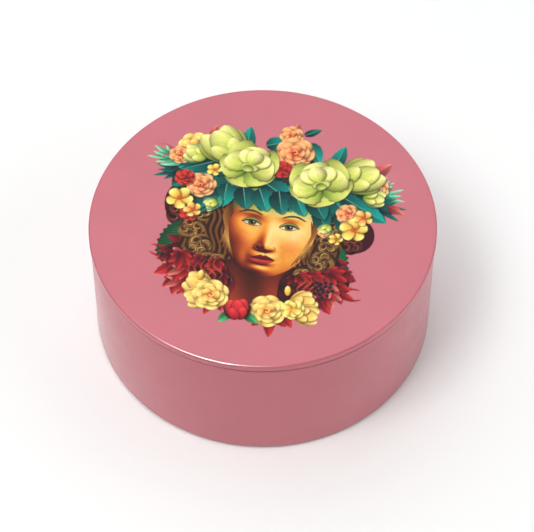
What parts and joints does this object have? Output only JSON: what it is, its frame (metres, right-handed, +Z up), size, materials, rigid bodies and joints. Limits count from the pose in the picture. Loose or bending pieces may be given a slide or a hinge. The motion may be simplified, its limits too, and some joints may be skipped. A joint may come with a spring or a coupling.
{
  "type": "talcum powder tin",
  "caption": "Round pink tinplate powder tin with a printed plug lid, a rotary sifter over the talc and a strapped velour puff.",
  "frame": {"origin": "centre of the base, on the plane the foot ring stands on", "axes": "+Z up along the tin's axis; -Y is the front, where the chin of the printed head points; +X is to the right seen from the front"},
  "size_m": [0.106, 0.106, 0.045],
  "materials": {
    "pink_lacquer": "gloss",
    "lid_print": "gloss",
    "gold_tinplate": "satin",
    "label_paper": "matte",
    "talc": "matte",
    "cream_plastic": "satin",
    "dial_plastic": "satin",
    "rivet_brass": "polished",
    "velour": "matte",
    "foam": "matte",
    "satin": "satin",
    "ribbon": "satin",
    "pulpboard": "matte"
  },
  "bodies": {
    "tin": {"body_shell": "pink_lacquer", "base_label": "label_paper", "talc_fill": "talc", "sifter_insert": "cream_plastic", "dial_rivet": "rivet_brass"},
    "dial": {"sifter_dial": "dial_plastic"},
    "puff": {"puff_pile": "velour", "puff_core": "foam", "puff_backing": "satin", "puff_piping": "satin", "puff_strap": "ribbon"},
    "lid": {"lid_panel": "pink_lacquer", "lid_plug_ring": "gold_tinplate", "lid_wad": "pulpboard"}
  },
  "joints": [
    {"name": "lid_lift", "type": "slide", "parent": "tin", "child": "lid", "axis": [0, 0, 1], "range_m": [0, 0.12]},
    {"name": "puff_lift", "type": "slide", "parent": "tin", "child": "puff", "axis": [0, 0, 1], "range_m": [0, 0.06]},
    {"name": "dial_turn", "type": "hinge", "parent": "tin", "child": "dial", "pos_m": [0, 0, 0.0214], "axis": [0, 0, 1], "range_deg": [0, 15]}
  ],
  "couplings": [
    {"joint": "puff_lift", "follows": "lid_lift", "ratio": 0.5}
  ]
}
